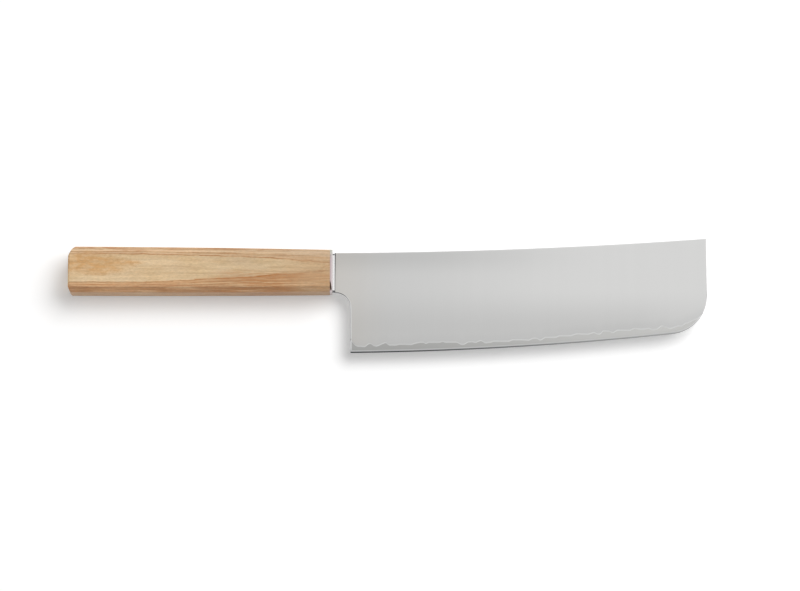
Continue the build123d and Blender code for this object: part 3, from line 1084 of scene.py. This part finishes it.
def skin_material(settings):
    """Satin cladding: faint lines from spine to edge, slow changes of tone, and the bright line along its
    border. A painted sheen raises the tone towards the nose, and painted shade lowers it by the spine near
    the neck, towards the foot and just above the border. Painted shadow lies where the blade meets the
    collar, painted shade on the rim's underside, and a painted highlight along the heel."""
    material, tree, shader = new_material("satin_cladding")
    lines, slow = ground_lines(tree, (2.4, 0.07, 0.07), 4.0)
    along, up = split(place_in_mm(tree))[:2]
    border, back, under = (piece_value(tree, label) for label in ("border", "back", "under"))
    # Painted shade by the spine near the neck and towards the foot
    spine_painted_shade = along.spread(*SPINE_DROP_ALONG) * up.spread(*SPINE_DROP_UP)
    foot_painted_shade = up.spread(*FOOT_DROP_UP) * along.spread(*FOOT_DROP_ALONG) * along.spread(*FOOT_DROP_NOSE)
    kept = (spine_painted_shade + foot_painted_shade) * -1.0 + 1.0
    # A painted sheen raises the tone towards the nose
    tone = along.spread(*SKIN_PAINTED_SHEEN) * kept * slow.spread(*NOISE_RANGE, 0.996, 1.004)
    colour = lay(settings.cladding, grey(tone), 1.0, "MULTIPLY")
    colour = lay(colour, NECK_WARMTH, along.spread(*NECK_ZONE), "MULTIPLY")
    line = border.spread(*SKIN_LINE_START) * border.spread(*SKIN_LINE_END) * along.spread(*LINE_ALONG)
    shoulder = FERRULE_HIGH.x / MM
    # A painted shadow along the shoulder, where the blade meets the collar
    painted_contact_shadow = along.spread(shoulder + CONTACT_START, shoulder + CONTACT_END) * up.spread(*CONTACT_UP)
    # Painted shade above the border, painted shadow at the collar, a painted highlight along the heel and
    # painted shade under the rim
    for over, share in (
        (BORDER_SHADE, border.spread(*SHADE_OVER_BORDER)),
        (settings.line, line),
        (settings.dark, painted_contact_shadow),
        (settings.bright, back.spread(*RIM_BACK) * up.spread(*RIM_UP)),
        (settings.dark, under.spread(0.2, 0.8, 0.0, 0.9)),
    ):
        colour = lay(colour, over, share)
    roughness = line * 0.10 + lines.spread(*NOISE_RANGE, 0.36, 0.43)
    set_surface(shader, colour, roughness, lines, 0.10, 0.01, 1.0)
    return material


def core_material(settings):
    """Bare hard steel, darker than the cladding, with a painted sheen that brightens it towards the nose.
    Its bevel has a painted highlight above and a painted dark reflection at the very edge, both fading
    towards the nose, and the heel's rim has a painted highlight."""
    material, tree, shader = new_material("bare_core")
    lines, slow = ground_lines(tree, (0.25, 2.2, 2.2), 3.0)
    along = split(place_in_mm(tree))[0]
    border, back, bevel = (piece_value(tree, label) for label in ("border", "back", "bevel"))
    # A painted sheen brightens the core towards the nose
    tone = along.spread(*CORE_PAINTED_SHEEN) * slow.spread(*NOISE_RANGE, 0.98, 1.02)
    colour = lay(settings.core, grey(tone), 1.0, "MULTIPLY")
    line = border.spread(*CORE_LINE_START) * along.spread(*LINE_ALONG)
    light = bevel.spread(*BEVEL_LIGHT) * along.spread(*BEVEL_LIGHT_ALONG)
    # A painted highlight on the upper bevel and the heel's rim, and a painted dark reflection at the very
    # edge
    for over, share in (
        (settings.line, line),
        (settings.bright, light.step("MAXIMUM", back.spread(*RIM_BACK, 0.0, 0.7))),
        (settings.dark, bevel.spread(*BEVEL_DARK) * along.spread(*BEVEL_DARK_ALONG)),
    ):
        colour = lay(colour, over, share)
    roughness = line * 0.10 + lines.spread(*NOISE_RANGE, 0.32, 0.40)
    set_surface(shader, colour, roughness, lines, 0.10, 0.01, 1.0)
    return material


CLEAR_ADHESIVE = (0.62, 0.53, 0.36)
CLOUDED_ADHESIVE = (0.74, 0.66, 0.48)


def adhesive_material():
    """Cured adhesive, hidden in the handle."""
    material, tree, shader = new_material("cured_adhesive")
    cloud = noise(place_in_mm(tree), 0.4)
    feed(shader.inputs["Base Color"], lay(CLEAR_ADHESIVE, CLOUDED_ADHESIVE, cloud))
    feed(shader.inputs["Roughness"], cloud.spread(*NOISE_RANGE, 0.45, 0.6))
    return material


def seen_rays(tree):
    """1 for the camera's rays and for those that metal and glass send out, 0 for the rays that light things.
    Also 1 for those that metal sends out, alone."""
    rays = add_node(tree, "ShaderNodeLightPath").outputs
    glossy = Value(rays["Is Glossy Ray"])
    through = Value(rays["Is Transmission Ray"])
    return Value(rays["Is Camera Ray"]).step("MAXIMUM", through).step("MAXIMUM", glossy), glossy


def floor_material(settings):
    """A pale matt floor that reads as white to the camera and in reflections, and keeps the shadow."""
    material, tree, shader = new_material("pale_floor")
    seen = seen_rays(tree)[0]
    feed(shader.inputs["Base Color"], settings.floor)
    feed(shader.inputs["Emission Color"], grey(seen * settings.floor_lift))
    for label, value in (("Roughness", 0.9), ("Specular IOR Level", 0.0), ("Emission Strength", 1.0)):
        shader.inputs[label].default_value = value
    return material


# Operators

def finish_piece(piece, material, slot, *nodes):
    """Gives a piece its material, lets it ride with the knife, and has it stand for its nodes. The slot is
    not used.
    """
    piece.data.materials.append(material)
    if nodes:
        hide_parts(*nodes)
    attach(piece, "root")


class BuildHandle(bpy.types.Operator):
    """Builds the wooden handle"""
    bl_idname = "knife.build_handle"
    bl_label = "Handle"

    def execute(self, context):
        settings = context.scene.knife_handle
        piece = make_object("wooden_handle", *handle_shape(settings))
        finish_piece(piece, wood_material(settings), "handle_wood", "handle")
        return {"FINISHED"}


class BuildFerrule(bpy.types.Operator):
    """Builds the cap and collar"""
    bl_idname = "knife.build_ferrule"
    bl_label = "Ferrule"

    def execute(self, context):
        settings = context.scene.knife_ferrule
        piece = make_object("steel_ferrule", *ferrule_shape(settings, context.scene.knife_handle))
        finish_piece(piece, polished_material(settings), "ferrule", "ferrule")
        return {"FINISHED"}


class BuildSkins(bpy.types.Operator):
    """Builds the cladding on both sides of the blade"""
    bl_idname = "knife.build_skins"
    bl_label = "Cladding"

    def execute(self, context):
        settings = context.scene.knife_blade
        material = skin_material(settings)
        for side, name in ((1, "front"), (-1, "back")):
            piece = make_object(f"{name}_skin", *skin_shape(settings, side))
            finish_piece(piece, material, "cladding", f"cladding_{name}")
        return {"FINISHED"}


class BuildCore(bpy.types.Operator):
    """Builds the hard core with its cutting edge and tang"""
    bl_idname = "knife.build_core"
    bl_label = "Core and tang"

    def execute(self, context):
        settings = context.scene.knife_blade
        piece = make_object("blade_core", *join_shapes(core_shape(settings), tang_shape()))
        finish_piece(piece, core_material(settings), "core_steel", "core_steel")
        return {"FINISHED"}


class DressAdhesive(bpy.types.Operator):
    """Gives the hidden adhesive its finish"""
    bl_idname = "knife.dress_adhesive"
    bl_label = "Adhesive"

    def execute(self, context):
        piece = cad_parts["tang_adhesive"]
        piece.data.materials.clear()
        piece.data.materials.append(adhesive_material())
        return {"FINISHED"}


KEY_PLACE = Vector((2.10, 1.70, 3.25))
KEY_TARGET = Vector((0.08, 0, 0))
KEY_SIZE = (3.7, 3.2)
FLOOR_SIZE = 6.0
PICTURE_MIDDLE = Vector((93.0 * MM, -10.6 * MM, 8.1 * MM))
CLIP_NEAR = 0.05
CLIP_FAR = 20.0


def add_camera(scene, settings):
    """A long lens, tilted a little to the edge's side of straight down."""
    data = bpy.data.cameras.new("camera")
    camera = bpy.data.objects.new("camera", data)
    scene.collection.objects.link(camera)
    back = Vector((0, -math.sin(settings.tilt), math.cos(settings.tilt)))
    level = Vector((0, back.z, -back.y))
    right = Vector((1, 0, 0)) * math.cos(settings.roll) + level * math.sin(settings.roll)
    camera.rotation_mode = "QUATERNION"
    camera.rotation_quaternion = Matrix((right, back.cross(right), back)).transposed().to_quaternion()
    camera.location = PICTURE_MIDDLE + back * settings.distance
    data.lens = data.sensor_width * settings.distance / settings.view_width
    data.clip_start = CLIP_NEAR
    data.clip_end = CLIP_FAR
    scene.camera = camera


def add_key(scene, settings):
    """A soft box high on the upper right. Its power gives the floor under it the wanted level: the level
    times pi squared times the square of the distance, over the cosine of the light's slant."""
    data = bpy.data.lights.new("key", "AREA")
    data.shape = "RECTANGLE"
    data.size, data.size_y = KEY_SIZE
    lamp = bpy.data.objects.new("key", data)
    scene.collection.objects.link(lamp)
    lamp.location = KEY_PLACE
    lamp.rotation_mode = "QUATERNION"
    lamp.rotation_quaternion = (KEY_TARGET - KEY_PLACE).to_track_quat("-Z", "Y")
    distance = (KEY_PLACE - KEY_TARGET).length
    data.energy = settings.key_level * math.pi ** 2 * distance ** 3 / KEY_PLACE.z
    lamp.visible_glossy = False


def sky(scene, settings):
    """White all round for the camera. In reflections it dims to the lower left, and for all other rays it
    is a plain level of light."""
    world = bpy.data.worlds.new("studio")
    scene.world = world
    world.use_nodes = True
    tree = world.node_tree
    tree.nodes.clear()
    right, up = split(Value(add_node(tree, "ShaderNodeTexCoord").outputs["Generated"]))[:2]
    mirrored = (right * 0.55 + up * 0.35).spread(-0.7, 0.6, 0.55, 1.10)
    seen, glossy = seen_rays(tree)
    strength = glossy.between(seen.between(settings.fill_level, 1.0), mirrored)
    background = add_node(tree, "ShaderNodeBackground", {"Color": (1, 1, 1, 1), "Strength": strength})
    add_node(tree, "ShaderNodeOutputWorld", {"Surface": Value(background.outputs[0])})


class BuildStage(bpy.types.Operator):
    """Builds the floor, the lights and the camera"""
    bl_idname = "knife.build_stage"
    bl_label = "Stage"

    def execute(self, context):
        scene = context.scene
        settings = scene.knife_stage
        half = FLOOR_SIZE / 2
        shares = np.linspace(-half, half, 3)
        x, y = np.meshgrid(shares, shares, indexing="ij")
        points = np.stack((x, y, np.zeros_like(x)), axis=-1).reshape(-1, 3)
        floor = make_object("floor", points, [grid_quads(3, 3)])
        floor.data.materials.append(floor_material(settings))
        sky(scene, settings)
        add_key(scene, settings)
        add_camera(scene, settings)
        scene.view_settings.view_transform = "Standard"
        return {"FINISHED"}


BUILDERS = (BuildStage, BuildHandle, BuildFerrule, BuildSkins, BuildCore, DressAdhesive)


class KnifePanel(bpy.types.Panel):
    """Lists the knife's pieces and their settings"""
    bl_idname = "VIEW3D_PT_knife"
    bl_label = "Vegetable knife"
    bl_space_type = "VIEW_3D"
    bl_region_type = "UI"
    bl_category = "Knife"

    def draw(self, context):
        for builder in BUILDERS:
            self.layout.operator(builder.bl_idname)
        for name in SETTINGS:
            box = self.layout.box()
            box.label(text=name.replace("_", " ").capitalize())
            settings = getattr(context.scene, name)
            for label in settings.__annotations__:
                box.prop(settings, label)


CLASSES = tuple(SETTINGS.values()) + BUILDERS + (KnifePanel,)


def register():
    for cls in CLASSES:
        bpy.utils.register_class(cls)
    for name, group in SETTINGS.items():
        setattr(bpy.types.Scene, name, bpy.props.PointerProperty(type=group))


def unregister():
    for name in SETTINGS:
        delattr(bpy.types.Scene, name)
    for cls in reversed(CLASSES):
        bpy.utils.unregister_class(cls)


def main():
    """Registers the classes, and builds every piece."""
    register()
    for builder in BUILDERS:
        group, action = builder.bl_idname.split(".")
        getattr(getattr(bpy.ops, group), action)()


if __name__ == "__main__":
    main()
